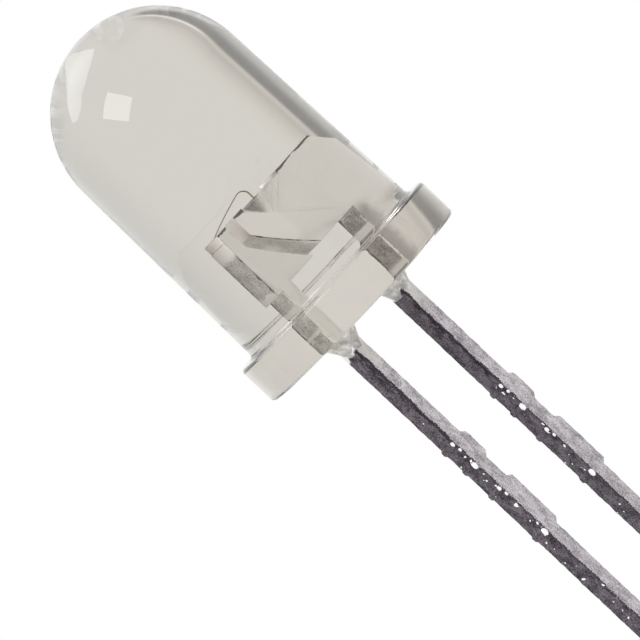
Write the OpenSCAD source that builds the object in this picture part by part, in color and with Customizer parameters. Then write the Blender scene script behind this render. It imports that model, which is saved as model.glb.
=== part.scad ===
// Clear round through-hole LED: an epoxy lens cast round two stamped leads that carry a die and its wire
// +Z runs up the lens axis, z = 0 is the underside of the flange, and +X points from the anode to the cathode

/* [Lens] */
// Diameter of the lens barrel where it meets the flange
body_d = 5.0; // [4.8:0.05:5.4]
// Diameter of the barrel under the dome, a little less so that the lens leaves its mould
barrel_top_d = 4.82; // [4.6:0.02:5.0]
// Height of the lens from the flange's underside to the tip of the dome
lens_h = 8.65; // [7.5:0.05:10]
// Diameter of the flange
flange_d = 5.8; // [5.6:0.05:6.4]
// Thickness of the flange
flange_h = 1.0; // [0.7:0.05:1.3]
// Rounding of the flange's two rims
rim_round = 0.1; // [0.04:0.01:0.14]
// Fillet between the flange and the barrel
root_round = 0.14; // [0.04:0.01:0.16]
// Distance from the lens axis to the flat that marks the cathode side
flat_offset = 2.56; // [2.4:0.02:2.7]
// Radius of the resin that crept round a lead under the flange
skirt_r = 0.46; // [0.4:0.01:0.6]
// Length of that creep down the lead
skirt_h = 0.5; // [0.2:0.05:0.8]
// Radius of the creep where it thins out
skirt_tip_r = 0.32; // [0.31:0.01:0.36]

/* [Leads] */
// Distance between the two leads
pitch = 2.54; // [2.3:0.02:2.8]
// Width of a lead
lead_w = 0.43; // [0.38:0.01:0.5]
// Thickness of the sheet that the leads are stamped from
sheet_t = 0.43; // [0.36:0.01:0.5]
// Length of the anode lead below the flange
anode_len = 29.9; // [20:0.1:34]
// Length of the cathode lead below the flange
cathode_len = 28.3; // [18:0.1:32]
// Depth of the narrow upper tie bar's stub below the flange
stub1_z = 3.8; // [3.2:0.05:4.1]
// Height of the upper stub
stub1_h = 0.62; // [0.4:0.02:0.9]
// Depth of the wide lower tie bar's stub below the flange
stub2_z = 5.57; // [5.2:0.05:6.5]
// Height of the lower stub
stub2_h = 1.34; // [1:0.02:1.6]
// How far a sheared stub stands out of the cathode side of a lead
stub_out = 0.15; // [0.05:0.01:0.25]
// Slope length at the top and bottom of a stub
stub_ramp = 0.1; // [0.04:0.01:0.16]
// How far the shear marks stand out of the anode side of a lead
burr_out = 0.06; // [0.02:0.01:0.12]
// Height of a shear mark
burr_h = 0.2; // [0.1:0.01:0.28]
// Bevel round a sheared lead tip
tip_bevel = 0.06; // [0.02:0.01:0.1]

/* [Cathode plate] */
// Height of the plate's top edge above the flange's underside
plate_top = 3.47; // [3.1:0.01:3.8]
// Height of the plate's lower edge
plate_bottom = 1.66; // [1.4:0.02:1.8]
// Distance from the lens axis to the plate's outer edge at its cut corner
plate_out = 1.55; // [1.5:0.01:1.7]
// Distance from the lens axis to the outer edge's lower end, a little farther out
plate_foot = 1.63; // [1.58:0.01:1.74]
// Height of that lower end, above the flange
foot_rise = 0.2; // [0.1:0.02:0.4]
// Distance from the axis to the plate's inner edge, past the axis towards the anode
plate_in = 0.9; // [0.8:0.02:1]
// Height of the corner where the plate's slanted edge starts
slant_top = 2.93; // [2.7:0.01:3.05]
// Distance from the axis to the foot of the slanted edge
slant_foot = 0.21; // [0.1:0.01:0.4]
// Width of the cut outer top corner
corner_w = 0.21; // [0.1:0.01:0.3]
// Height of the cut outer top corner
corner_h = 0.53; // [0.3:0.01:0.7]

/* [Reflector cup] */
// Outer radius of the cup's rim
cup_r = 0.6; // [0.56:0.01:0.7]
// Width of the rim
rim_w = 0.07; // [0.04:0.01:0.08]
// How far the rim lies below the plate's top edge
rim_drop = 0.07; // [0.02:0.01:0.12]
// Depth of the cup
cup_depth = 0.3; // [0.22:0.01:0.32]
// Radius of the cup's floor
floor_r = 0.26; // [0.24:0.01:0.3]
// Height of the cone that bulges out of the plate under the rim
cone_h = 0.56; // [0.52:0.01:0.7]
// Radius at the foot of that cone, inside the sheet
cone_foot_r = 0.19; // [0.12:0.01:0.2]

/* [Anode post] */
// Distance from the axis to the post's outer edge
post_out = 1.72; // [1.66:0.01:1.8]
// Distance from the axis to the post's inner edge at its top
post_in = 1.25; // [1.2:0.01:1.35]
// Slot between the post's slanted edge and the plate's, measured level
slot_w = 0.43; // [0.35:0.01:0.5]
// Height of the post's lower edge
post_bottom = 1.58; // [1.4:0.02:1.7]
// Height of the coined pad at the top of the post
coin_h = 0.22; // [0.1:0.01:0.3]
// How far the coined pad is set back from the post's outer edge
coin_in = 0.03; // [0.01:0.005:0.06]

/* [Die and wire] */
// Side of the square die
die_w = 0.24; // [0.2:0.01:0.26]
// Height of the die
die_h = 0.14; // [0.1:0.01:0.16]
// Offset of the die from the lens axis, towards the cathode
die_x = 0.03; // [0:0.01:0.04]
// Radius of the conductive paste under the die
paste_r = 0.2; // [0.18:0.01:0.22]
// Thickness of the paste
paste_h = 0.016; // [0.01:0.002:0.03]
// Offset of the bond pad from the die's centre
pad_x = 0.06; // [0:0.01:0.07]
// Radius of the bond pad
pad_r = 0.045; // [0.042:0.001:0.048]
// Thickness of the bond pad
pad_h = 0.006; // [0.004:0.001:0.01]
// Thickness of the bond wire
wire_d = 0.026; // [0.02:0.002:0.032]
// Radius of the flattened ball at the die end
ball_r = 0.036; // [0.03:0.001:0.04]
// Height of the ball
ball_h = 0.03; // [0.02:0.002:0.04]
// Height of the wire's loop above the plate's top edge
loop_h = 0.27; // [0.2:0.01:0.4]
// Bend radius of the loop
loop_r = 0.19; // [0.12:0.01:0.22]
// Distance from the axis to where the wire meets the post
stitch_x = 1.38; // [1.3:0.01:1.5]
// Length of the flattened stitch
stitch_l = 0.11; // [0.06:0.01:0.14]
// Width of the stitch
stitch_w = 0.06; // [0.04:0.01:0.08]

/* [Hidden] */

$fn = 96;
dome_r = barrel_top_d / 2;
dome_z = lens_h - dome_r;
lead_x = pitch / 2;
rim_z = plate_top - rim_drop;
floor_z = rim_z - cup_depth;
die_z = floor_z + paste_h;
pad_z = die_z + die_h;
ball_z = pad_z + pad_h;
bond_x = die_x + pad_x;
slant_run = slant_foot + plate_in;
slant_rise = slant_top - plate_bottom;
slant_slope = slant_run / slant_rise;
// The post's slanted edge runs parallel to the plate's, one slot away
post_corner_z = slant_top + (plate_in + slot_w - post_in) / slant_slope * -1;
post_foot_x = slant_foot - slot_w + slant_slope * (plate_bottom - post_bottom);
arc_steps = 6;

// Points of a quarter circle round a centre, from one angle to another
function arc(cx, cz, r, from, to) =
    [for (i = [0:arc_steps]) let (a = from + (to - from) * i / arc_steps) [cx + r * cos(a), cz + r * sin(a)]];

// Outline of the flange and the barrel's root, to turn round the axis
function flange_profile() = concat(
    [[0, 0]],
    arc(flange_d / 2 - rim_round, rim_round, rim_round, -90, 0),
    arc(flange_d / 2 - rim_round, flange_h - rim_round, rim_round, 0, 90),
    arc(body_d / 2 + root_round, flange_h + root_round, root_round, 270, 180),
    [[0, flange_h + root_round]]
);

// Outline of the resin round a lead: a hollow curve that thins out downwards
function skirt_profile() = concat(
    [[0, 0]],
    [for (i = [0:arc_steps]) let (a = 90 * i / arc_steps)
        [skirt_tip_r + (skirt_r - skirt_tip_r) * (1 - sin(a)), -skirt_h * (1 - cos(a))]],
    [[0, -skirt_h]]
);

// Edge of a lead's cathode side where a tie bar was sheared off, from the bottom up
function stub_edge(x, z, h) = [
    [x, z - h / 2 - stub_ramp],
    [x + stub_out, z - h / 2],
    [x + stub_out, z + h / 2],
    [x, z + h / 2 + stub_ramp]
];

// One shear mark on a lead's anode side, from the top down
function burr_edge(x, z) = [
    [x, z + burr_h / 2],
    [x - burr_out, z + burr_h / 4],
    [x - burr_out, z - burr_h / 4],
    [x, z - burr_h / 2]
];

// The two shear marks that a tie bar leaves, one at each of its edges
function burr_pair(x, z, h) = concat(burr_edge(x, z + h / 2), burr_edge(x, z - h / 2));

// The right edge of a lead from its tip up, and its left edge back down to the tip
function lead_right(x, len) = concat(
    [[x - tip_bevel, -len], [x, -len + tip_bevel]],
    stub_edge(x, -stub2_z, stub2_h),
    stub_edge(x, -stub1_z, stub1_h)
);
function lead_left(x, len) = concat(
    burr_pair(x, -stub1_z, stub1_h),
    burr_pair(x, -stub2_z, stub2_h),
    [[x, -len + tip_bevel], [x + tip_bevel, -len]]
);

// A stamped sheet that stands in the plane of the leads, cut to an outline of x and z
module stamped(outline) {
    translate([0, sheet_t / 2, 0]) rotate([90, 0, 0]) linear_extrude(sheet_t) polygon(outline);
}

module cathode_sheet() {
    stamped(concat(
        lead_right(lead_x + lead_w / 2, cathode_len),
        [
            [lead_x + lead_w / 2, flange_h],
            [plate_foot, flange_h + foot_rise],
            [plate_out, plate_top - corner_h],
            [plate_out - corner_w, plate_top],
            [-plate_in, plate_top],
            [-plate_in, slant_top],
            [slant_foot, plate_bottom],
            [lead_x - lead_w / 2, plate_bottom]
        ],
        lead_left(lead_x - lead_w / 2, cathode_len)
    ));
}

// Cone pressed out of the sheet below the rim
module cup_cone() {
    translate([0, 0, rim_z - cone_h]) cylinder(h = cone_h, r1 = cone_foot_r, r2 = cup_r);
}

// Hollow of the cup, with the space above the rim that the coining cleared
module cup_hollow() {
    above = plate_top - rim_z + 1;
    translate([0, 0, floor_z]) cylinder(h = cup_depth, r1 = floor_r, r2 = cup_r - rim_w);
    translate([0, 0, rim_z]) cylinder(h = above, r = cup_r);
}

module cathode_shape() {
    difference() {
        union() {
            cathode_sheet();
            cup_cone();
        }
        cup_hollow();
    }
}

module anode_shape() {
    stamped(concat(
        lead_right(-lead_x + lead_w / 2, anode_len),
        [
            [-lead_x + lead_w / 2, post_bottom],
            [post_foot_x, post_bottom],
            [-post_in, post_corner_z],
            [-post_in, plate_top],
            [-post_out + coin_in, plate_top],
            [-post_out + coin_in, plate_top - coin_h],
            [-post_out, plate_top - coin_h],
            [-post_out, post_bottom],
            [-lead_x - lead_w / 2, post_bottom]
        ],
        lead_left(-lead_x - lead_w / 2, anode_len)
    ));
}

module die_shape() {
    translate([die_x - die_w / 2, -die_w / 2, die_z]) cube([die_w, die_w, die_h]);
}

module paste_shape() {
    translate([0, 0, floor_z]) cylinder(h = paste_h, r = paste_r, $fn = 24);
}

module pad_shape() {
    translate([bond_x, 0, pad_z]) cylinder(h = pad_h, r = pad_r, $fn = 24);
}

// Ball on the pad, a rise, a bend over the rim and a straight run down to the stitch on the post
module wire_shape() {
    wire_r = wire_d / 2;
    bend_x = bond_x - loop_r;
    bend_z = plate_top + loop_h - loop_r;
    end_z = plate_top + wire_r;
    run_x = -stitch_x - bend_x;
    run_z = end_z - bend_z;
    reach = norm([run_x, run_z]);
    bend_a = atan2(run_z, run_x) + 360 * (run_z < 0 ? 1 : 0) - acos(loop_r / reach);
    run = sqrt(reach * reach - loop_r * loop_r);
    translate([bond_x, 0, ball_z]) cylinder(h = ball_h, r = ball_r, $fn = 24);
    translate([bond_x, 0, ball_z]) cylinder(h = bend_z - ball_z, r = wire_r, $fn = 8);
    translate([bend_x, 0, bend_z]) rotate([90, 0, 0])
        rotate_extrude(angle = bend_a, $fn = 72) translate([loop_r, 0]) circle(r = wire_r, $fn = 8);
    translate([bend_x, 0, bend_z]) rotate([0, -bend_a, 0]) translate([loop_r, 0, 0])
        cylinder(h = run, r = wire_r, $fn = 8);
    translate([-stitch_x - stitch_l, -stitch_w / 2, plate_top]) cube([stitch_l + wire_d, stitch_w, wire_r]);
}

module lens_body() {
    rotate_extrude() polygon(flange_profile());
    translate([0, 0, flange_h]) cylinder(h = dome_z - flange_h, d1 = body_d, d2 = barrel_top_d);
    translate([0, 0, dome_z]) sphere(r = dome_r);
    for (side = [-1, 1])
        translate([side * lead_x, 0, 0]) rotate_extrude() polygon(skirt_profile());
}

module epoxy_lens() {
    cut = flange_d;
    color([0.83, 0.82, 0.79, 0.4])
    difference() {
        lens_body();
        translate([flat_offset, -cut / 2, -skirt_h]) cube([cut, cut, flange_h + root_round + skirt_h]);
        cathode_shape();
        anode_shape();
        die_shape();
        paste_shape();
        pad_shape();
        wire_shape();
    }
}

module cathode_leadframe() { color([0.72, 0.70, 0.71]) cathode_shape(); }
module anode_leadframe() { color([0.72, 0.70, 0.71]) anode_shape(); }
module led_die() { color([0.35, 0.36, 0.38]) die_shape(); }
module die_attach() { color([0.75, 0.75, 0.74]) paste_shape(); }
module bond_pad() { color([0.86, 0.72, 0.36]) pad_shape(); }
module bond_wire() { color([0.86, 0.70, 0.34]) wire_shape(); }

epoxy_lens();
cathode_leadframe();
anode_leadframe();
led_die();
die_attach();
bond_pad();
bond_wire();
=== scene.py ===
# Looks of a clear round through-hole LED: cast resin, tinned lead frame, gold wire and a white studio

from math import acos, atan2, cos, hypot, pi, radians, sin, tan

import bmesh
import bpy
from mathutils import Matrix, Quaternion, Vector, noise


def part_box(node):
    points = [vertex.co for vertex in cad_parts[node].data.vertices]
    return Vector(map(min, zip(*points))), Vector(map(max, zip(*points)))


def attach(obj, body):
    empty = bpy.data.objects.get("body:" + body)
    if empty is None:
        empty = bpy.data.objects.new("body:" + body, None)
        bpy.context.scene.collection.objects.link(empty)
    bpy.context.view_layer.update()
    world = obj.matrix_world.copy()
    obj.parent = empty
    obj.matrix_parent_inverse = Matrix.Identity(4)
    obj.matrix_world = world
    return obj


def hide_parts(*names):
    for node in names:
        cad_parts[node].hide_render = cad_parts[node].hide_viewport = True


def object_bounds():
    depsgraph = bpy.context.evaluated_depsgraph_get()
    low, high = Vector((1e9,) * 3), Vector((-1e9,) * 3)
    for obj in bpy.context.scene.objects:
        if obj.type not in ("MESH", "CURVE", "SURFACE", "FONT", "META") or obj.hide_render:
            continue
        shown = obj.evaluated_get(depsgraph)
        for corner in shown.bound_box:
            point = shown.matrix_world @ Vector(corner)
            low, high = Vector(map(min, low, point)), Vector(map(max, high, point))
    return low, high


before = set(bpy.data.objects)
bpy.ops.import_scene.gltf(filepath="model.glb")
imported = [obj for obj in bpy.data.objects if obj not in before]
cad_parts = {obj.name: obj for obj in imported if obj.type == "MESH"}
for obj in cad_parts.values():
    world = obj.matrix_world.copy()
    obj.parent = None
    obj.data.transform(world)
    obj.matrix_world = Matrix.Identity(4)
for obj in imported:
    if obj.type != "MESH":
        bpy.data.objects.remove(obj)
cad_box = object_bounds()

# Meshes: distances in metres at which points are welded and cuts meet points, and the angle of a
# sharp edge in degrees
WELD = 1e-7
CUT_TOLERANCE = 1e-8
SHARP_ANGLE = 35

# Lengths below are in millimetres, and MM turns them into metres
MM = 0.001

# Camera: picture width, scale, pixel where the lens axis meets the board, distance, turns of the part
PHOTO_PX = 640
PX_PER_MM = 45.1
SEAT_PX = (363.6, 307.0)
CAMERA_DISTANCE = 200.0
LEAD_PLANE_TURN = radians(48.5)
AXIS_SLOPE = radians(43.3)
DOME_TIP = radians(2.2)

# Resin lens
LENS_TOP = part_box("epoxy_lens")[1].z / MM
FLANGE_R = -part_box("epoxy_lens")[0].x / MM
FLANGE_H = 1.0
BARREL_R = 2.5
BARREL_TOP_R = 2.41
DOME_Z = LENS_TOP - BARREL_TOP_R
ROUND_STEPS = 180
RIM_ROUND = 0.1
ROOT_ROUND = 0.14
FLAT_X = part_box("epoxy_lens")[1].x / MM
SKIRT_H = -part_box("epoxy_lens")[0].z / MM
SKIRT_R = 0.46
SKIRT_TIP_R = 0.24
SKIRT_IN = 0.12
SKIRT_CURVE = 1.3
SKIRT_STEPS = 14
SKIRT_GRAIN = 0.3
SKIRT_WAVE = 0.22
SKIRT_DROOP = 0.05

# Lead frame
LEAD_X = 1.27
LEAD_HALF = 0.215
SHEET_HALF = 0.215
PLATE_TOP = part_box("cathode_leadframe")[1].z / MM
PLATE_BOTTOM = 1.66
PLATE_OUT = 1.55
PLATE_FOOT = 1.63
FOOT_RISE = 0.2
PLATE_IN = 0.9
SLANT_TOP = 2.93
SLANT_FOOT = 0.21
CORNER_W = 0.21
CORNER_H = 0.53
POST_OUT = 1.72
POST_IN = 1.25
POST_BOTTOM = 1.58
SLOT = 0.43
COIN_H = 0.22
COIN_IN = 0.03
TIP_BEVEL = 0.06
EDGE_SOFTNESS = 0.02
CUP_R = 0.6
CUP_RIM = 0.07
RIM_Z = PLATE_TOP - 0.07
CUP_DEPTH = 0.3
CUP_FLOOR_R = 0.26
CONE_H = 0.56
CONE_FOOT_R = 0.19

# Bond wire
WIRE_R = 0.013
BALL_R = 0.036
BALL_H = 0.03
BOND_X = 0.09
BALL_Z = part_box("bond_wire")[0].z / MM
LOOP_R = 0.19
LOOP_TOP = PLATE_TOP + 0.27
STITCH_X = 1.38
STITCH_L = 0.11

# Tie bar stubs: depth of each one's middle and its height, then the shear burrs across from them
STUBS = ((5.57, 1.34), (3.8, 0.62))
STUB_OUT = 0.15
STUB_RAMP = 0.1
BURR_OUT = 0.06
BURR_H = 0.2

# Beads of tin by each stub: height above its top or its bottom edge, radius, distance from the lead
TOP_BEADS = ((0.03, 0.04, 0.04), (-0.17, 0.03, 0.0))
BOTTOM_BEADS = ((-0.02, 0.06, 0.045),)
BEAD_SUNK = 0.02
BEAD_GRAIN = 0.07
BEAD_STRETCH = 0.7
BEAD_WAVE = 0.5

# Uneven solder coat: where it starts, how far it fades in, its thickness, its grain and its mesh
COAT_TOP = -0.2
COAT_FADE = 0.4
COAT = 0.012
COAT_GRAIN = 0.12
COAT_PITCH = 0.07
COAT_CUTS = 6

# Resin colours: barrel, uneven tone of the flange, crept resin and the clouds in it
RESIN_IOR = 1.5
BARREL_TINT = (0.635, 0.615, 0.565)
FLANGE_TINTS = ((0.63, 0.595, 0.548), (0.645, 0.62, 0.55))
CREPT_TINT = (0.80, 0.785, 0.745)
CLOUD_TONES = ((0.58, 0.56, 0.52), (0.90, 0.89, 0.87))

# Speckled surfaces of the lead frame, each with its dark and its pale colour
TIN = ((0.24, 0.22, 0.235), (0.68, 0.65, 0.67))
# The sheared sides: duller tin, darkened further as painted shade
SHEARED_TIN_AND_SHADE = ((0.045, 0.038, 0.046), (0.235, 0.21, 0.235))
PLATING = ((0.91, 0.89, 0.875), (0.97, 0.95, 0.935))
CUT_EDGE = ((0.38, 0.36, 0.35), (0.80, 0.77, 0.75))
# The stems' cut edges: painted shade, darker on the cathode
ANODE_STEM_SHADE = ((0.38, 0.37, 0.355), (0.86, 0.835, 0.805))
CATHODE_STEM_SHADE = ((0.21, 0.195, 0.185), (0.58, 0.55, 0.525))
# Edges facing up or down: painted lighter, as painted light
LIT_SLANTING_EDGE = ((0.66, 0.635, 0.61), (1.0, 0.98, 0.95))
# The cathode's outward-facing edges: painted shade
SHADED_OUTER_EDGE = ((0.14, 0.135, 0.13), (0.40, 0.385, 0.37))
# The cup's outer side facing the anode: painted shade
SHADED_CUP_SIDE = ((0.26, 0.25, 0.24), (0.55, 0.53, 0.51))

# Marks on the lead frame, with its painted light and shade among them: the lighter anode plating, the
# shadow, the glints, the shade beside the stem and the highlights
LIT_ANODE_PLATING = (1.0, 0.985, 0.965)
SCRATCH = (0.85, 0.84, 0.85)
TORN_TIN = (0.05, 0.044, 0.05)
SHADOW = (0.025, 0.02, 0.025)
GLINT = (0.97, 0.96, 0.97)
BEAD = (0.99, 0.98, 0.99)
SHADE_BESIDE_STEM = (0.36, 0.345, 0.33)
BURR_LINE = (0.16, 0.15, 0.14)
TORN_LINE = (0.16, 0.15, 0.145)
EDGE_HIGHLIGHT = (1.0, 0.985, 0.96)
BRIGHT_TOP = (1.0, 0.965, 0.94)
STEM_TOP_HIGHLIGHT = (0.95, 0.93, 0.90)
# Light bands on the cut edges: painted highlights
SHOULDER_HIGHLIGHT = (0.86, 0.84, 0.82)
WETTED = (0.62, 0.60, 0.57)

# Heights at which the look of the lead frame changes, each from and to
TIN_START = (-0.49, -0.41)
FACE_TIN_START = (-1.3, -0.35)
GLINTS_START = (-2.7, -2.3)
STUBS_START = (-3.6, -3.2)
WETTED_END = (-0.2, 0.0)
FOOT_END = (-0.08, 0.0)
SHOULDER_START = (0.86, 0.90)
SHOULDER_END = (1.13, 1.18)
SHADE_BESIDE_STEM_END = (1.35, 1.75)
STEM_END = (1.5, 1.62)
STEM_TOP_HIGHLIGHT_END = (1.70, 1.82)
BRIGHT_TOP_START = (2.8, 2.95)
BURR_LINE_START = (PLATE_TOP - 0.065, PLATE_TOP - 0.05)

# Surroundings seen through the resin: grey by the cosine of the angle from the backdrop's middle,
# its warmth, and the bright line at the edge of the dark gap
BACKDROP_GREYS = (
    (0.0, 0.52), (0.40, 0.46), (0.46, 0.38), (0.52, 0.28), (0.57, 0.24), (0.61, 0.25), (0.65, 0.29),
    (0.668, 0.42), (0.688, 0.78), (0.703, 0.82), (0.722, 0.77), (0.742, 0.72), (0.78, 0.83),
    (0.83, 0.94), (0.90, 1.0))
BACKDROP_WARMTH = (1.0, 0.975, 0.955)
FRINGE = (1.2, 1.18, 1.16)
WHITE = (1.0, 1.0, 1.0)
BLACK = (0.0, 0.0, 0.0)
STUDIO = (1.0, 0.998, 1.0)

# Windows: their distance from the dome, the far one's image on the dome in pixels, its tone, its glow
# at the middle, the rim's share of it, and how much of the light the resin mirrors head on
WINDOW_DISTANCE = 160.0
FAR_WINDOW_PX = (
    (69.3, 57.0), (81.0, 52.8), (96.1, 50.6), (94.0, 60.0), (92.2, 67.8), (87.8, 84.4), (83.9, 93.3),
    (83.3, 108.9), (79.4, 120.0), (74.4, 122.8), (70.5, 112.2), (68.8, 93.3), (68.2, 78.9), (68.0, 66.7))
FAR_WINDOW_TONE = (0.985, 0.99, 1.0)
FAR_WINDOW_GLOW = 0.155
FAR_WINDOW_RIM_SHARE = 0.6
MIRRORED_HEAD_ON = 0.04

# Floor: half its width, how far it lies below the lead tips, its paper and its glare
FLOOR_HALF = 45.0
FLOOR_DROP = 1.2
FLOOR_PAPER = (0.78, 0.78, 0.78, 1.0)
FLOOR_GLARE = (0.25, 0.25, 0.25)

# Directions of the photograph: across the barrel, towards the camera, and up the lens axis
ACROSS = Vector((cos(LEAD_PLANE_TURN), -sin(LEAD_PLANE_TURN), 0.0))
TOWARDS = Vector((-sin(LEAD_PLANE_TURN), -cos(LEAD_PLANE_TURN), 0.0))
AXIS = Vector((0.0, 0.0, 1.0))


class Value:
    """A shader socket that takes part in Python arithmetic by adding Math nodes"""

    def __init__(self, graph, socket):
        self.graph = graph
        self.socket = socket

    def __add__(self, other):
        return self.graph.maths("ADD", self, other)

    def __sub__(self, other):
        return self.graph.maths("SUBTRACT", self, other)

    def __rsub__(self, other):
        return self.graph.maths("SUBTRACT", other, self)

    def __mul__(self, other):
        return self.graph.maths("MULTIPLY", self, other)

    def __truediv__(self, other):
        return self.graph.maths("DIVIDE", self, other)

    def __abs__(self):
        return self.graph.maths("ABSOLUTE", self)


class Graph:
    """The node tree of one material or of the world"""

    def __init__(self, owner):
        owner.use_nodes = True
        self.tree = owner.node_tree
        self.tree.nodes.clear()

    def node(self, kind, settings=None, inputs=None):
        """Adds a node with its settings and a value or a link for each named input"""
        made = self.tree.nodes.new(kind)
        for name, setting in (settings or {}).items():
            if name == "stops":
                while len(made.color_ramp.elements) < len(setting):
                    made.color_ramp.elements.new(1.0)
                for element, (place, colour) in zip(made.color_ramp.elements, setting):
                    element.position = place
                    element.color = (*colour, 1.0)
            else:
                setattr(made, name, setting)
        for name, given in (inputs or {}).items():
            if isinstance(given, Value):
                self.tree.links.new(given.socket, made.inputs[name])
            else:
                made.inputs[name].default_value = given
        return made

    def value(self, kind, output=0, settings=None, inputs=None):
        """One output of a new node"""
        return Value(self, self.node(kind, settings, inputs).outputs[output])

    def maths(self, operation, *given):
        """A Math node over values and numbers"""
        return self.value("ShaderNodeMath", 0, {"operation": operation}, dict(enumerate(given)))

    def rise(self, value, low, high):
        """0 below low, 1 above high and a smooth rise between"""
        return self.value("ShaderNodeMapRange", 0, {"interpolation_type": "SMOOTHSTEP"},
                          {"Value": value, "From Min": low, "From Max": high})

    def fall(self, value, low, high):
        """1 below low, 0 above high and a smooth fall between"""
        return 1 - self.rise(value, low, high)

    def place(self):
        """Object coordinates"""
        return self.value("ShaderNodeTexCoord", "Object")

    def part(self, vector, letter):
        """The X, Y or Z of a vector"""
        return self.value("ShaderNodeSeparateXYZ", letter, inputs={"Vector": vector})

    def dot(self, vector, way):
        """How far a vector points along a direction"""
        return self.value("ShaderNodeVectorMath", "Value", {"operation": "DOT_PRODUCT"},
                          {0: vector, 1: way})

    def grain(self, size, detail=2.0, rough=0.5, stretch=(1.0, 1.0, 1.0)):
        """Noise from 0 to 1 whose features are about size millimetres"""
        scaled = self.value("ShaderNodeVectorMath", 0, {"operation": "MULTIPLY"},
                            {0: self.place(), 1: stretch})
        return self.value("ShaderNodeTexNoise", 0, inputs={
            "Vector": scaled, "Scale": 1 / (size * MM), "Detail": detail, "Roughness": rough})

    def blend(self, factor, first, second):
        """Mixes two colours"""
        mixed = self.node("ShaderNodeMix", {"data_type": "RGBA"}, {0: factor})
        for socket, given in ((mixed.inputs[6], first), (mixed.inputs[7], second)):
            if isinstance(given, Value):
                self.tree.links.new(given.socket, socket)
            else:
                socket.default_value = (*given, 1.0)
        return Value(self, mixed.outputs[2])

    def layered(self, ground, *layers):
        """A ground colour under layers, each given by how far it covers and its colour"""
        for cover, colour in layers:
            ground = self.blend(cover, ground, colour)
        return ground

    def bump(self, height, depth, strength):
        """Bump whose height of 1 stands for depth millimetres"""
        return self.value("ShaderNodeBump", 0, inputs={
            "Height": height, "Distance": depth * MM, "Strength": strength})

    def mix(self, factor, first, second):
        """Mixes two shaders"""
        mixed = self.node("ShaderNodeMixShader", inputs={0: factor})
        self.tree.links.new(first.outputs[0], mixed.inputs[1])
        self.tree.links.new(second.outputs[0], mixed.inputs[2])
        return mixed

    def finish(self, shader, target="ShaderNodeOutputMaterial"):
        """Joins a shader to the output"""
        self.tree.links.new(shader.outputs[0], self.node(target).inputs[0])


def epoxy():
    """Water-clear cast resin with a faint warm grey, cloudy and uneven where it crept down the leads"""
    material = bpy.data.materials.new("clear_epoxy")
    graph = Graph(material)
    z = graph.part(graph.place(), "Z") / MM
    crept = graph.fall(z, -0.08, -0.01)
    flange = graph.fall(z, 0.7, 1.3)
    flange_tint = graph.blend(graph.rise(graph.grain(0.7), 0.35, 0.65), *FLANGE_TINTS)
    tint = graph.layered(BARREL_TINT, (flange, flange_tint), (crept, CREPT_TINT))
    relief = graph.grain(0.16, 3.0, 0.6) * crept + graph.grain(0.5, 2.0) * flange * 0.25
    resin = graph.node("ShaderNodeBsdfPrincipled", inputs={
        "Base Color": tint, "Roughness": crept * 0.12, "IOR": RESIN_IOR, "Transmission Weight": 1.0,
        "Normal": graph.bump(relief, 0.04, 0.5)})
    clouds = graph.node("ShaderNodeBsdfPrincipled", inputs={
        "Base Color": graph.blend(graph.rise(graph.grain(0.12), 0.3, 0.7), *CLOUD_TONES),
        "Roughness": 0.35})
    cloudy = crept * (graph.rise(graph.grain(0.2), 0.3, 0.7) * 0.5 + 0.35)
    graph.finish(graph.mix(cloudy, resin, clouds))
    return material


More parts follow.
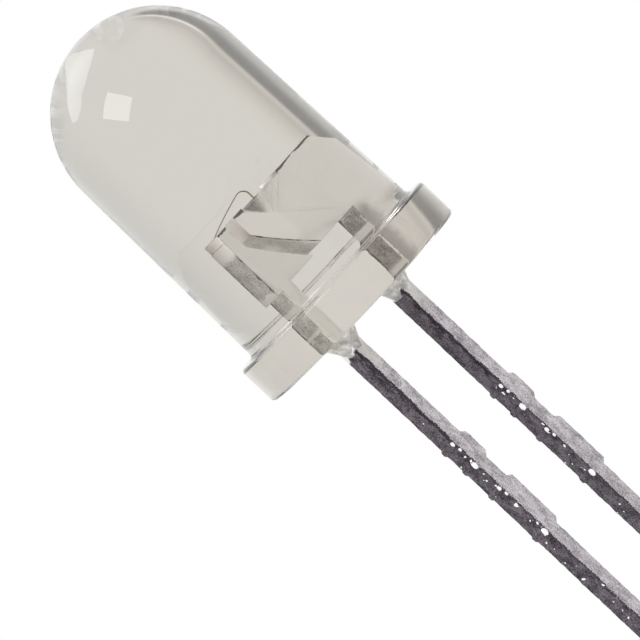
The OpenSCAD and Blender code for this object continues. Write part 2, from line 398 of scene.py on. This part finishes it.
def tinned():
    """Lead frame: bright plating inside the resin, mottled tin outside, darker on the sheared sides as
    duller tin and as painted shade, with painted light and shade on the edges inside the resin
    """
    material = bpy.data.materials.new("tinned_leadframe")
    graph = Graph(material)
    place = graph.place()
    x = graph.part(place, "X") / MM
    y = graph.part(place, "Y") / MM
    z = graph.part(place, "Z") / MM
    normal = graph.value("ShaderNodeTexCoord", "Normal")
    broad = graph.rise(abs(graph.part(normal, "Y")), 0.6, 0.8)
    on_cathode = graph.rise(x, -0.1, 0.1)
    across_lead = x - graph.maths("SIGN", x) * LEAD_X
    fine = graph.grain(0.035, 3.0, 0.65)
    coarse = graph.grain(0.16, 4.0, 0.6, (1.0, 1.0, 0.6))
    fine_wave = fine - 0.5
    coarse_wave = coarse - 0.5
    patches = coarse * 0.4 + fine * 0.6

    # Ragged line below the flange where the tin starts
    tin_line = z - on_cathode * 0.09 + coarse_wave * 0.34 + (y + SHEET_HALF) * 0.3
    outside = graph.fall(tin_line, *TIN_START)
    outside_face = graph.fall(z + coarse_wave * 0.5, *FACE_TIN_START)

    # Broad faces of the leads, with the dark torn edge on their anode side
    tilted = graph.value("ShaderNodeMapping", inputs={
        "Vector": place, "Rotation": (0.0, radians(35), 0.0), "Scale": (1.0, 1.0, 0.12)})
    scratches = graph.value("ShaderNodeTexNoise", inputs={
        "Vector": tilted, "Scale": 1 / (0.05 * MM), "Detail": 2.0})
    mottled = graph.blend(graph.rise(patches, 0.36, 0.64), *TIN)
    mottled = graph.blend(graph.rise(scratches, 0.62, 0.75) * 0.4, mottled, SCRATCH)
    above_stubs = graph.rise(z, *STUBS_START)
    torn_width = above_stubs * 0.02 + coarse_wave * 0.16 - fine_wave * 0.16
    torn = graph.fall(across_lead - torn_width, -LEAD_HALF + 0.02, -LEAD_HALF + 0.05) * outside

    # Sheared sides of the leads, darker as duller tin and as painted shade, with a painted shadow along
    # their front edge and painted glints by the tie bar stubs
    front = graph.fall(y, -0.17, -0.1)
    by_stub = graph.fall(abs(z + STUBS[0][0]), 0.6, 1.0) + graph.fall(abs(z + STUBS[1][0]), 0.3, 0.7)
    # Painted glints: near-white spots of colour near the stubs' front edge
    glints = graph.rise(graph.grain(0.13, 1.0, 0.4) + front * (by_stub * 0.08 + 0.01), 0.715, 0.745)
    shadowed = graph.fall(y + coarse_wave * 0.3 + fine_wave * 0.12, -0.175, -0.125)
    dull_and_shaded = graph.layered(
        graph.blend(graph.rise(patches, 0.38, 0.66), *SHEARED_TIN_AND_SHADE),
        (shadowed * (above_stubs * 0.4 + 0.3), SHADOW),
        (glints * graph.fall(z, *GLINTS_START), GLINT))

    # Broad faces inside the resin, the anode's painted lighter, with painted shade beside the cathode's
    # stem
    # Painted shade on the cathode's broad face beside its stem's edge, fading out upwards
    shade_beside_stem = graph.fall(across_lead + coarse_wave * 0.3 + fine_wave * 0.12, -0.15, 0.08)
    shade_beside_stem = shade_beside_stem * graph.fall(z, *SHADE_BESIDE_STEM_END) * on_cathode
    burr_height = z + (graph.grain(0.3, 2.0) - 0.5) * 0.22
    # Painted light: the anode's plating is lighter than the cathode's
    plated = graph.layered(
        graph.blend(on_cathode, LIT_ANODE_PLATING, graph.blend(graph.grain(0.5), *PLATING)),
        (shade_beside_stem * 0.75, SHADE_BESIDE_STEM),
        (graph.rise(burr_height, *BURR_LINE_START), BURR_LINE))

    # Cut edges inside the resin, from the stems up to the plate's top, with painted shade and painted
    # highlights on them
    speckle = graph.rise(patches, 0.35, 0.65)
    stem = graph.fall(z + fine_wave * 0.3, *STEM_END)
    above_stem = 1 - stem
    # Painted shade on the stems' cut edges, darker on the cathode's
    stem_shade_colour = graph.blend(
        on_cathode, graph.blend(speckle, *ANODE_STEM_SHADE), graph.blend(speckle, *CATHODE_STEM_SHADE))
    # Painted light: cut edges facing up or down are lighter
    slanting = graph.rise(abs(graph.part(normal, "Z")), 0.3, 0.6) * above_stem
    # Painted shade: the cathode's outward-facing cut edges are darker
    outer_edge = graph.rise(graph.part(normal, "X"), 0.5, 0.8) * on_cathode * above_stem
    # Painted highlights: a bright line along the slanting edge, and one along the stem's sheared front
    # edge
    slant_highlight = graph.fall(abs(y + 0.155), 0.012, 0.028) * slanting
    sheared = graph.fall(abs(y + 0.19 + fine_wave * 0.06), 0.015, 0.03) * stem
    # Painted highlight: a light band just above the anode's stem
    stem_top_highlight = graph.fall(z + coarse_wave * 0.6, *STEM_TOP_HIGHLIGHT_END) * graph.fall(x, -1.5, -1.3) * above_stem
    # Painted highlights: light bands at the shoulders, at the foot under the flange and in a stripe
    # across the anode's stem
    uneven = z + fine_wave * 0.12
    shoulder = graph.rise(uneven, *SHOULDER_START) * graph.fall(uneven, *SHOULDER_END)
    foot = graph.fall(uneven - on_cathode * 0.24, *FOOT_END)
    stripe = (1 - on_cathode) * graph.fall(abs(uneven - 0.42), 0.03, 0.05)
    on_cup = graph.rise(abs(y), SHEET_HALF + 0.005, SHEET_HALF + 0.03)
    # Painted shade on the cup's outer side where it faces the anode
    cup_shade = on_cup * graph.rise(graph.part(normal, "X") * -1.0, 0.05, 0.55)
    trimmed = graph.layered(
        graph.blend(speckle, *CUT_EDGE),
        (stem, stem_shade_colour),
        (slanting, graph.blend(speckle, *LIT_SLANTING_EDGE)),
        (outer_edge, graph.blend(speckle, *SHADED_OUTER_EDGE)),
        (graph.rise(abs(y) + coarse_wave * 0.24, 0.185, 0.205), TORN_LINE),
        (slant_highlight + sheared * graph.rise(coarse, 0.4, 0.5), EDGE_HIGHLIGHT),
        (graph.rise(z + coarse_wave * 0.2, *BRIGHT_TOP_START), BRIGHT_TOP),
        (stem_top_highlight, STEM_TOP_HIGHLIGHT),
        (shoulder + foot + stripe, SHOULDER_HIGHLIGHT),
        (cup_shade, graph.blend(speckle, *SHADED_CUP_SIDE)))

    face = graph.layered(
        plated, (graph.fall(z, *WETTED_END), WETTED), (outside_face, mottled), (torn, TORN_TIN))
    side = graph.blend(outside, trimmed, dull_and_shaded)
    bead = graph.value("ShaderNodeAttribute", "Fac", {"attribute_name": "bead"})
    colour = graph.blend(bead, graph.blend(broad, side, face), BEAD)
    rough = (outside * 0.2 + (1 - broad) * 0.1 + 0.24 + fine_wave * 0.1) * (1 - bead * 0.5)
    relief = graph.bump((fine * 0.5 + coarse * 0.5) * (outside * 0.8 + 0.2), 0.02, 0.6)
    metal = graph.node("ShaderNodeBsdfPrincipled", inputs={
        "Base Color": colour, "Metallic": 1.0, "Roughness": rough, "Normal": relief})
    graph.finish(metal)
    return material


def gold():
    """Drawn gold, a little uneven"""
    material = bpy.data.materials.new("gold")
    graph = Graph(material)
    tone = graph.blend(graph.grain(0.02), (0.32, 0.26, 0.16), (0.46, 0.38, 0.24))
    metal = graph.node("ShaderNodeBsdfPrincipled", inputs={
        "Base Color": tone, "Metallic": 1.0, "Roughness": graph.grain(0.03) * 0.1 + 0.18})
    graph.finish(metal)
    return material


def crystal():
    """Die: shiny smooth top, darker sawn sides with fine saw lines"""
    material = bpy.data.materials.new("semiconductor")
    graph = Graph(material)
    normal = graph.value("ShaderNodeTexCoord", "Normal")
    top = graph.rise(graph.part(normal, "Z"), 0.6, 0.9)
    lines = graph.grain(0.02, 2.0, 0.5, (1.0, 1.0, 6.0))
    sides = graph.blend(lines, (0.10, 0.11, 0.13), (0.24, 0.25, 0.28))
    colour = graph.blend(top, sides, (0.30, 0.33, 0.40))
    body = graph.node("ShaderNodeBsdfPrincipled", inputs={
        "Base Color": colour, "Roughness": 0.5 - top * 0.35, "Normal": graph.bump(lines, 0.004, 0.5)})
    graph.finish(body)
    return material


def paste():
    """Cured silver paste, matt with fine flakes"""
    material = bpy.data.materials.new("silver_paste")
    graph = Graph(material)
    flakes = graph.grain(0.015, 3.0, 0.7)
    body = graph.node("ShaderNodeBsdfPrincipled", inputs={
        "Base Color": graph.blend(flakes, (0.52, 0.52, 0.51), (0.78, 0.78, 0.77)), "Metallic": 0.7,
        "Roughness": 0.55, "Normal": graph.bump(flakes, 0.004, 0.6)})
    graph.finish(body)
    return material


def arc(centre_x, centre_z, radius, start, end, steps):
    """Points of an arc, from one angle to another in degrees"""
    angles = [radians(start + (end - start) * i / steps) for i in range(steps + 1)]
    return [(centre_x + radius * cos(a), centre_z + radius * sin(a)) for a in angles]


def sharpened(piece, angle):
    """The piece shaded smooth, with the edges marked that turn by more than an angle in degrees"""
    piece.data.shade_smooth()
    piece.data.set_sharp_from_angle(angle=radians(angle))
    return piece


def finished(name, mesh_data, material):
    """A new object in metres, with its material and its sharp edges marked"""
    mesh = bpy.data.meshes.new(name)
    mesh_data.to_mesh(mesh)
    mesh_data.free()
    piece = bpy.data.objects.new(name, mesh)
    bpy.context.scene.collection.objects.link(piece)
    if material:
        mesh.materials.append(material)
    return sharpened(piece, SHARP_ANGLE)


def spun(profile, steps, centre_x=0.0):
    """A closed solid turned from a profile of (radius, height) whose ends lie on its axis"""
    solid = bmesh.new()
    points = [solid.verts.new(((centre_x + r) * MM, 0.0, z * MM)) for r, z in profile]
    rim = [solid.edges.new(pair) for pair in zip(points, points[1:])]
    bmesh.ops.spin(solid, geom=points + rim, cent=(centre_x * MM, 0.0, 0.0), axis=(0.0, 0.0, 1.0),
                   angle=2 * pi, steps=steps, use_merge=True)
    bmesh.ops.remove_doubles(solid, verts=solid.verts, dist=WELD)
    bmesh.ops.recalc_face_normals(solid, faces=solid.faces)
    return solid


def stamped(outline):
    """A sheet standing in the plane of the leads, cut to an outline of (x, z)"""
    sheet = bmesh.new()
    points = [sheet.verts.new((x * MM, -SHEET_HALF * MM, z * MM)) for x, z in outline]
    face = sheet.faces.new(points)
    extruded = bmesh.ops.extrude_face_region(sheet, geom=[face])
    far_side = [e for e in extruded["geom"] if isinstance(e, bmesh.types.BMVert)]
    bmesh.ops.translate(sheet, verts=far_side, vec=(0.0, 2 * SHEET_HALF * MM, 0.0))
    bmesh.ops.recalc_face_normals(sheet, faces=sheet.faces)
    return sheet


def modified(piece, kind, **settings):
    """The piece with one modifier applied to its mesh"""
    modifier = piece.modifiers.new("made", kind)
    for name, setting in settings.items():
        setattr(modifier, name, setting)
    graph = bpy.context.evaluated_depsgraph_get()
    mesh = bpy.data.meshes.new_from_object(piece.evaluated_get(graph))
    piece.modifiers.clear()
    piece.data = mesh
    return piece


def combined(piece, tool_data, operation):
    """The piece joined with, or cut by, another solid"""
    tool = finished("tool", tool_data, None)
    modified(piece, "BOOLEAN", object=tool, operation=operation, solver="EXACT")
    bpy.data.objects.remove(tool)
    return piece


def roughened(piece, amount, size, low, high, seed):
    """Moves the vertices between two heights along their normals by smooth noise"""
    shift = Vector((seed, seed * 1.7, seed * 2.3))
    normals = [vertex.normal.copy() for vertex in piece.data.vertices]
    for vertex, normal in zip(piece.data.vertices, normals):
        z = vertex.co.z / MM
        if not low < z < high:
            continue
        coarse = noise.noise(vertex.co / (size * MM) + shift)
        fine = noise.noise(vertex.co / (size * MM * 0.4) - shift)
        fade = min(1.0, (high - z) / COAT_FADE)
        vertex.co += normal * (coarse + 0.5 * fine) * amount * fade * MM
    return piece


def make_lens(material):
    """Dome, tapered barrel, flange with its flat, and the resin crept round both leads"""
    profile = [(0.0, 0.0)]
    profile += arc(FLANGE_R - RIM_ROUND, RIM_ROUND, RIM_ROUND, -90, 0, 5)
    profile += arc(FLANGE_R - RIM_ROUND, FLANGE_H - RIM_ROUND, RIM_ROUND, 0, 90, 5)
    profile += arc(BARREL_R + ROOT_ROUND, FLANGE_H + ROOT_ROUND, ROOT_ROUND, 270, 180, 6)
    taper = atan2(BARREL_R - BARREL_TOP_R, DOME_Z - FLANGE_H) * 180 / pi
    profile += arc(0.0, DOME_Z, BARREL_TOP_R, taper, 90, 40)
    solid = spun(profile, ROUND_STEPS)
    cut = bmesh.ops.bisect_plane(
        solid, geom=solid.verts[:] + solid.edges[:] + solid.faces[:], dist=CUT_TOLERANCE,
        plane_co=((FLAT_X + 0.001) * MM, 0.0, 0.0), plane_no=(1.0, 0.0, 0.0), clear_outer=True)
    rim = [e for e in cut["geom_cut"] if isinstance(e, bmesh.types.BMEdge)]
    bmesh.ops.holes_fill(solid, edges=rim)
    bmesh.ops.recalc_face_normals(solid, faces=solid.faces)
    lens = finished("resin_lens", solid, material)
    for side in (-1, 1):
        skirt_profile = [(0.0, SKIRT_IN), (SKIRT_R, SKIRT_IN)]
        for i in range(SKIRT_STEPS + 1):
            radius = SKIRT_TIP_R + (SKIRT_R - SKIRT_TIP_R) * (1 - i / SKIRT_STEPS) ** SKIRT_CURVE
            skirt_profile.append((radius, -SKIRT_H * i / SKIRT_STEPS))
        skirt = spun(skirt_profile + [(0.0, -SKIRT_H)], 48, side * LEAD_X)
        for vertex in skirt.verts:
            z = vertex.co.z / MM
            away = Vector((vertex.co.x - side * LEAD_X * MM, vertex.co.y, 0.0))
            if -SKIRT_H * 0.98 < z < 0.02:
                wave = noise.noise(vertex.co / (SKIRT_GRAIN * MM) + Vector((side * 3.1, 0.0, 0.0)))
                vertex.co += away * wave * SKIRT_WAVE
                if z < -0.1:
                    vertex.co += AXIS * wave * SKIRT_DROOP * MM
        combined(lens, skirt, "UNION")
    return sharpened(lens, 40)


def lead_edges(x, length):
    """The two edges of a lead: up its cathode side, then down its anode side"""
    edge = x + LEAD_HALF
    right = [(edge - TIP_BEVEL, -length), (edge, -length + TIP_BEVEL)]
    for depth, height in STUBS:
        top = -depth + height / 2
        bottom = -depth - height / 2
        right += [(edge, bottom - STUB_RAMP), (edge + STUB_OUT, bottom),
                  (edge + STUB_OUT, top), (edge, top + STUB_RAMP)]
    edge = x - LEAD_HALF
    left = []
    for depth, height in reversed(STUBS):
        for z in (-depth + height / 2, -depth - height / 2):
            left += [(edge, z + BURR_H / 2), (edge - BURR_OUT, z + BURR_H / 4),
                     (edge - BURR_OUT, z - BURR_H / 4), (edge, z - BURR_H / 2)]
    left += [(edge, -length + TIP_BEVEL), (edge + TIP_BEVEL, -length)]
    return right, left


def with_edges(faces):
    """The faces together with their edges and vertices"""
    vertices = dict.fromkeys(v for f in faces for v in f.verts)
    edges = dict.fromkeys(e for f in faces for e in f.edges)
    return [*vertices, *edges, *faces]


def gridded(piece, low, high, pitch, x_from, x_to):
    """Cuts the lead below the lens into small faces so that its solder coat can be uneven"""
    mesh = bmesh.new()
    mesh.from_mesh(piece.data)
    below = [f for f in mesh.faces if f.calc_center_median().z < high * MM]
    for i in range(int((high - low) / pitch)):
        level = (high - pitch * i) * MM
        cut = bmesh.ops.bisect_plane(mesh, geom=with_edges(below), dist=CUT_TOLERANCE,
                                     plane_co=(0.0, 0.0, level), plane_no=AXIS)
        faces = [f for f in cut["geom"] if isinstance(f, bmesh.types.BMFace)]
        below = [f for f in faces if f.calc_center_median().z < level]
    shares = [i / COAT_CUTS for i in range(1, COAT_CUTS)]
    cuts = [(((x_from + (x_to - x_from) * share) * MM, 0.0, 0.0), (1.0, 0.0, 0.0)) for share in shares]
    cuts += [((0.0, SHEET_HALF * (2 * share - 1) * MM, 0.0), (0.0, 1.0, 0.0)) for share in shares]
    for place, normal in cuts:
        lead = [f for f in mesh.faces if f.calc_center_median().z < high * MM]
        bmesh.ops.bisect_plane(mesh, geom=with_edges(lead), dist=CUT_TOLERANCE,
                               plane_co=place, plane_no=normal)
    mesh.to_mesh(piece.data)
    mesh.free()
    return piece


def beaded(piece, x):
    """Adds the beads of tin on the lead's front edge where its tie bars were sheared off"""
    mesh = bmesh.new()
    mesh.from_mesh(piece.data)
    layer = mesh.verts.layers.float.new("bead")
    for depth, height in STUBS:
        beads = [(-depth + height / 2 + rise, radius, out) for rise, radius, out in TOP_BEADS]
        beads += [(-depth - height / 2 + rise, radius, out) for rise, radius, out in BOTTOM_BEADS]
        for z, radius, out in beads:
            place = Matrix.Translation(Vector((x - LEAD_HALF - out, -SHEET_HALF + BEAD_SUNK, z)) * MM)
            made = bmesh.ops.create_icosphere(mesh, subdivisions=3, radius=radius * MM, matrix=place)
            for vertex in made["verts"]:
                vertex[layer] = 1.0
                wave = noise.noise(vertex.co / (BEAD_GRAIN * MM)) * BEAD_WAVE
                stretch = (vertex.co.z / MM - z) * BEAD_STRETCH
                vertex.co += (AXIS * stretch + TOWARDS * wave * radius) * MM
    mesh.to_mesh(piece.data)
    mesh.free()
    return piece


def make_frame(name, outline, material, cup):
    """One stamped lead frame with softened edges and, on the cathode, the pressed cup"""
    piece = finished(name, stamped(outline), material)
    if cup:
        cone = [(0.0, RIM_Z - CONE_H), (CONE_FOOT_R, RIM_Z - CONE_H), (CUP_R, RIM_Z), (0.0, RIM_Z)]
        clear = PLATE_TOP + 0.5
        hollow = [(0.0, RIM_Z - CUP_DEPTH), (CUP_FLOOR_R, RIM_Z - CUP_DEPTH), (CUP_R - CUP_RIM, RIM_Z),
                  (CUP_R, RIM_Z), (CUP_R, clear), (0.0, clear)]
        combined(piece, spun(cone, 72), "UNION")
        combined(piece, spun(hollow, 72), "DIFFERENCE")
    modified(piece, "BEVEL", width=EDGE_SOFTNESS * MM, segments=2, limit_method="ANGLE",
             angle_limit=radians(40))
    return piece


def make_wire(material):
    """Ball, rise, bend and straight run of the bond wire, with its flattened stitch on the post"""
    bend_x = BOND_X - LOOP_R
    bend_z = LOOP_TOP - LOOP_R
    run_x = -STITCH_X - bend_x
    run_z = PLATE_TOP + WIRE_R - bend_z
    reach = hypot(run_x, run_z)
    turn = atan2(run_z, run_x) % (2 * pi) - acos(LOOP_R / reach)
    path = [(BOND_X, BALL_Z + BALL_H * 0.5)]
    path += arc(bend_x, bend_z, LOOP_R, 0, turn * 180 / pi, 24)
    path += [(-STITCH_X, PLATE_TOP + WIRE_R)]
    curve = bpy.data.curves.new("wire_path", "CURVE")
    curve.dimensions = "3D"
    curve.bevel_depth = WIRE_R * MM
    curve.bevel_resolution = 3
    curve.use_fill_caps = True
    spline = curve.splines.new("POLY")
    spline.points.add(len(path) - 1)
    for point, (x, z) in zip(spline.points, path):
        point.co = (x * MM, 0.0, z * MM, 1.0)
    guide = bpy.data.objects.new("wire_path", curve)
    bpy.context.scene.collection.objects.link(guide)
    mesh = bpy.data.meshes.new_from_object(guide)
    bpy.data.objects.remove(guide)
    solid = bmesh.new()
    solid.from_mesh(mesh)
    ball_centre = Vector((BOND_X, 0.0, BALL_Z + BALL_H * 0.5)) * MM
    stitch_centre = Vector((-STITCH_X - STITCH_L * 0.35, 0.0, PLATE_TOP + WIRE_R * 0.5)) * MM
    for around, rings, radius, shape, centre in (
            (20, 12, BALL_R, (1.0, 1.0, 0.5 * BALL_H / BALL_R), ball_centre),
            (16, 8, STITCH_L * 0.55, (1.0, 0.5, 0.12), stitch_centre)):
        made = bmesh.ops.create_uvsphere(solid, u_segments=around, v_segments=rings, radius=radius * MM)
        bmesh.ops.scale(solid, vec=shape, verts=made["verts"])
        bmesh.ops.translate(solid, vec=centre, verts=made["verts"])
    return finished("gold_wire", solid, material)


def dressed(node, material):
    """Gives a CAD node a finish"""
    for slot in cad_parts[node].material_slots:
        slot.material = material


def camera_axes():
    """Right, up and back of the camera, which looks at the lens axis on a slope"""
    level_axis = AXIS * cos(DOME_TIP) - TOWARDS * sin(DOME_TIP)
    back = TOWARDS * cos(DOME_TIP) + AXIS * sin(DOME_TIP)
    right = ACROSS * sin(AXIS_SLOPE) - level_axis * cos(AXIS_SLOPE)
    up = ACROSS * cos(AXIS_SLOPE) + level_axis * sin(AXIS_SLOPE)
    return right, up, back


def turned(right, back):
    """The rotation whose x axis is right and whose z axis is back"""
    return Matrix((right, back.cross(right), back)).transposed()


def set_camera():
    """A long lens that sees the part as the photograph does"""
    right, up, back = camera_axes()
    middle = PHOTO_PX / 2
    aim = (right * (middle - SEAT_PX[0]) + up * (SEAT_PX[1] - middle)) / PX_PER_MM * MM
    data = bpy.data.cameras.new("camera")
    data.sensor_width = 36.0
    data.lens = data.sensor_width / 2 / (middle / PX_PER_MM / CAMERA_DISTANCE)
    data.clip_start = 1 * MM
    data.clip_end = 5000 * MM
    camera = bpy.data.objects.new("camera", data)
    bpy.context.scene.collection.objects.link(camera)
    camera.location = aim + back * CAMERA_DISTANCE * MM
    camera.rotation_mode = "QUATERNION"
    camera.rotation_quaternion = turned(right, back).to_quaternion()
    bpy.context.scene.camera = camera


def photo_way(azimuth, elevation):
    """The direction some degrees right of the camera and above it, as the photograph stands"""
    right, up, back = camera_axes()
    flat = right * sin(radians(azimuth)) + back * cos(radians(azimuth))
    return flat * cos(radians(elevation)) + up * sin(radians(elevation))


def set_world():
    """White studio. What is seen through the resin also has a dark gap at the left end of the backdrop"""
    world = bpy.data.worlds.new("studio")
    bpy.context.scene.world = world
    graph = Graph(world)
    direction = graph.value("ShaderNodeTexCoord", "Generated")
    leftward = graph.dot(direction, -ACROSS)
    rearward = graph.dot(direction, -TOWARDS)
    downward = graph.dot(direction, -AXIS)
    centred = graph.dot(direction, (ACROSS * 0.04 - TOWARDS * 0.96 - AXIS * 0.28).normalized())
    stops = [(place, [grey * share for share in BACKDROP_WARMTH]) for place, grey in BACKDROP_GREYS]
    gap = graph.value("ShaderNodeValToRGB", 0, {"stops": stops}, {"Fac": centred})
    fringe = graph.rise(centred, 0.674, 0.688) * graph.fall(centred, 0.70, 0.716)
    gap = graph.blend(fringe * graph.rise(downward, 0.1, 0.3), gap, FRINGE)
    gap_end = rearward - graph.rise(downward, 0.05, 0.25) * 0.32
    gap_here = graph.rise(leftward, 0.36, 0.54) * graph.rise(gap_end, 0.0, 0.16)
    gap_here = gap_here * graph.fall(downward, 0.68, 0.8)
    right_shade = graph.fall(leftward, -1.0, -0.35) * graph.rise(rearward, 0.24, 0.5) * 0.17
    low_shade = graph.rise(downward, 0.75, 0.95) * 0.12
    seen = graph.layered(WHITE, (gap_here, gap), (right_shade + low_shade, BLACK))
    through = Value(graph, graph.node("ShaderNodeLightPath").outputs["Is Transmission Ray"])
    back = graph.node("ShaderNodeBackground", inputs={"Color": graph.blend(through, STUDIO, seen)})
    graph.finish(back, "ShaderNodeOutputWorld")


def set_window(name, azimuth, elevation, wide, high, turn, radiance):
    """A soft lamp like a window, placed, sized and turned in degrees as the photograph stands"""
    way = photo_way(azimuth, elevation)
    level = photo_way(azimuth + 90, 0)
    data = bpy.data.lights.new(name, "AREA")
    data.shape = "RECTANGLE"
    data.size = 2 * WINDOW_DISTANCE * tan(radians(wide / 2)) * MM
    data.size_y = 2 * WINDOW_DISTANCE * tan(radians(high / 2)) * MM
    data.energy = radiance * pi * data.size * data.size_y
    lamp = bpy.data.objects.new(name, data)
    bpy.context.scene.collection.objects.link(lamp)
    lamp.location = (AXIS * DOME_Z + way * WINDOW_DISTANCE) * MM
    lamp.rotation_mode = "QUATERNION"
    lamp.rotation_quaternion = turned(Quaternion(way, radians(turn)) @ level, way).to_quaternion()


def mirrored_way(x, y):
    """The direction that the dome mirrors at a pixel of the photograph"""
    right, up, back = camera_axes()
    aside = (right * (x - SEAT_PX[0]) + up * (SEAT_PX[1] - y)) / PX_PER_MM - AXIS * DOME_Z
    aside -= back * aside.dot(back)
    normal = (aside + back * (BARREL_TOP_R ** 2 - aside.length_squared) ** 0.5) / BARREL_TOP_R
    return normal * back.dot(normal) * 2 - back


def set_card(name, outline_px, gain, rim_share):
    """A glowing card that only mirrored rays see, with the outline of its image on the dome in pixels"""
    back = camera_axes()[2]
    card = bmesh.new()
    rim = [card.verts.new((AXIS * DOME_Z + mirrored_way(x, y) * WINDOW_DISTANCE) * MM)
           for x, y in outline_px]
    bmesh.ops.poke(card, faces=[card.faces.new(rim)])
    layer = card.verts.layers.float.new("glow")
    for vertex in card.verts:
        vertex[layer] = rim_share if vertex.is_boundary else 1.0
    bmesh.ops.subdivide_edges(card, edges=card.edges, cuts=5, use_grid_fill=True)
    for vertex in card.verts:
        half_turn = ((1 + (vertex.co - AXIS * DOME_Z * MM).normalized().dot(back)) / 2) ** 0.5
        mirrored_here = MIRRORED_HEAD_ON + (1 - MIRRORED_HEAD_ON) * (1 - half_turn) ** 5
        vertex[layer] = 1 + gain * vertex[layer] / mirrored_here
    material = bpy.data.materials.new(name)
    graph = Graph(material)
    path = graph.node("ShaderNodeLightPath")
    glossy, through = [Value(graph, path.outputs[kind])
                       for kind in ("Is Glossy Ray", "Is Transmission Ray")]
    glow = graph.value("ShaderNodeAttribute", "Fac", {"attribute_name": "glow"})
    tone = graph.value("ShaderNodeVectorMath", 0, {"operation": "SCALE"},
                       {0: FAR_WINDOW_TONE, "Scale": glow})
    lit = graph.node("ShaderNodeEmission", inputs={"Color": tone})
    clear = graph.node("ShaderNodeBsdfTransparent")
    graph.finish(graph.mix(glossy * (1 - through), clear, lit))
    finished(name, card, material)


def set_floor():
    """A pale floor just under the lead tips, not seen through the resin"""
    floor = bmesh.new()
    bmesh.ops.create_grid(floor, x_segments=1, y_segments=1, size=FLOOR_HALF * MM)
    bmesh.ops.translate(floor, vec=(0.0, 0.0, cad_box[0].z - FLOOR_DROP * MM), verts=floor.verts)
    material = bpy.data.materials.new("floor")
    graph = Graph(material)
    path = graph.node("ShaderNodeLightPath")
    camera, glossy, through = [Value(graph, path.outputs[kind])
                               for kind in ("Is Camera Ray", "Is Glossy Ray", "Is Transmission Ray")]
    paper = graph.node("ShaderNodeBsdfDiffuse", inputs={"Color": FLOOR_PAPER})
    glow = graph.node("ShaderNodeEmission", inputs={
        "Color": graph.blend(camera + glossy * 0.3, BLACK, FLOOR_GLARE)})
    both = graph.node("ShaderNodeAddShader")
    graph.tree.links.new(paper.outputs[0], both.inputs[0])
    graph.tree.links.new(glow.outputs[0], both.inputs[1])
    graph.finish(graph.mix(through, both, graph.node("ShaderNodeBsdfTransparent")))
    finished("floor", floor, material)


bpy.context.scene.view_settings.view_transform = "Standard"
set_camera()
set_world()
set_floor()
set_window("near_window", azimuth=-43.8, elevation=5.5, wide=30, high=25, turn=-7, radiance=3.8)
set_card("far_window", FAR_WINDOW_PX, FAR_WINDOW_GLOW, FAR_WINDOW_RIM_SHARE)

metal = tinned()
bright_gold = gold()
lens = make_lens(epoxy())

cathode_length = -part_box("cathode_leadframe")[0].z / MM
anode_length = -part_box("anode_leadframe")[0].z / MM
slope = (SLANT_FOOT + PLATE_IN) / (SLANT_TOP - PLATE_BOTTOM)
right, left = lead_edges(LEAD_X, cathode_length)
cathode_outline = right + [
    (LEAD_X + LEAD_HALF, FLANGE_H), (PLATE_FOOT, FLANGE_H + FOOT_RISE),
    (PLATE_OUT, PLATE_TOP - CORNER_H), (PLATE_OUT - CORNER_W, PLATE_TOP),
    (-PLATE_IN, PLATE_TOP), (-PLATE_IN, SLANT_TOP),
    (SLANT_FOOT, PLATE_BOTTOM), (LEAD_X - LEAD_HALF, PLATE_BOTTOM)] + left
cathode = make_frame("cathode_metal", cathode_outline, metal, True)
right, left = lead_edges(-LEAD_X, anode_length)
anode_outline = right + [
    (-LEAD_X + LEAD_HALF, POST_BOTTOM),
    (SLANT_FOOT - SLOT + slope * (PLATE_BOTTOM - POST_BOTTOM), POST_BOTTOM),
    (-POST_IN, SLANT_TOP - (PLATE_IN + SLOT - POST_IN) / slope), (-POST_IN, PLATE_TOP),
    (-POST_OUT + COIN_IN, PLATE_TOP), (-POST_OUT + COIN_IN, PLATE_TOP - COIN_H),
    (-POST_OUT, PLATE_TOP - COIN_H), (-POST_OUT, POST_BOTTOM),
    (-LEAD_X - LEAD_HALF, POST_BOTTOM)] + left
anode = make_frame("anode_metal", anode_outline, metal, False)
for piece, x, length, seed in (
        (cathode, LEAD_X, cathode_length, 4.0), (anode, -LEAD_X, anode_length, 9.0)):
    gridded(piece, -length + 0.1, COAT_TOP, COAT_PITCH, x - LEAD_HALF, x + LEAD_HALF)
    roughened(piece, COAT, COAT_GRAIN, -length - 1, COAT_TOP, seed)
    beaded(piece, x)
    sharpened(piece, 50)
wire = make_wire(bright_gold)

dressed("led_die", crystal())
dressed("die_attach", paste())
dressed("bond_pad", bright_gold)
for piece, node, slot in (
        (lens, "epoxy_lens", "clear_epoxy"), (cathode, "cathode_leadframe", "tinned_leadframe"),
        (anode, "anode_leadframe", "tinned_leadframe"), (wire, "bond_wire", "gold")):
    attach(piece, "root")
    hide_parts(node)
